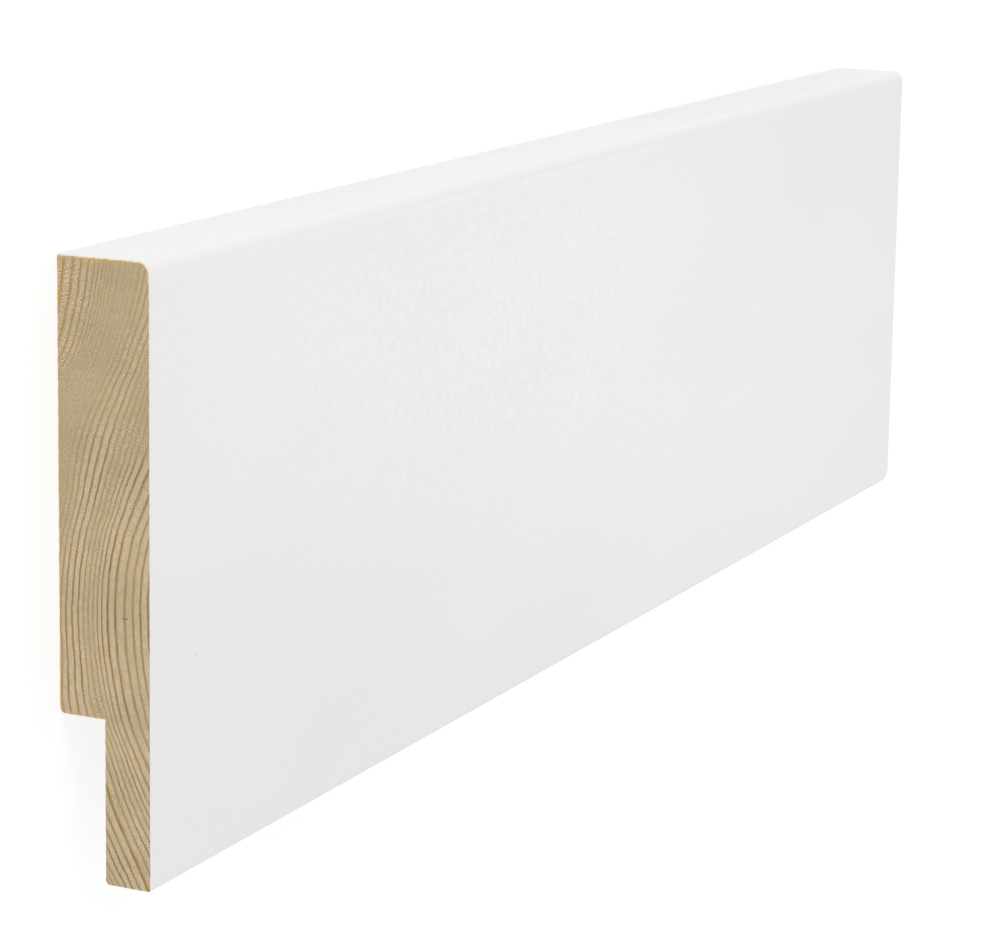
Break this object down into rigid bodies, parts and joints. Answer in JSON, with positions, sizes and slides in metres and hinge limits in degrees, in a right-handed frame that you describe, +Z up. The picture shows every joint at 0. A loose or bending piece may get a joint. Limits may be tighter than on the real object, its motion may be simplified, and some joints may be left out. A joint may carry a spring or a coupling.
{
  "type": "door lining board",
  "caption": "Painted pine door lining board with one eased long edge, a rebate along the back of the other leaving a thin tongue, and bare sawn ends.",
  "frame": {"origin": "on the floor, under the middle of the board's bounding box", "axes": "+X along the board towards the end with the knocked corner, +Y across it towards the eased edge, +Z up out of the painted face"},
  "size_m": [0.4, 0.115, 0.019],
  "materials": {
    "painted_pine": "satin white paint on the face, the long edges and the rebate; bare planed wood on the back and bare sawn end grain"
  },
  "bodies": {
    "root": {"lining_board": "painted_pine"}
  },
  "joints": []
}
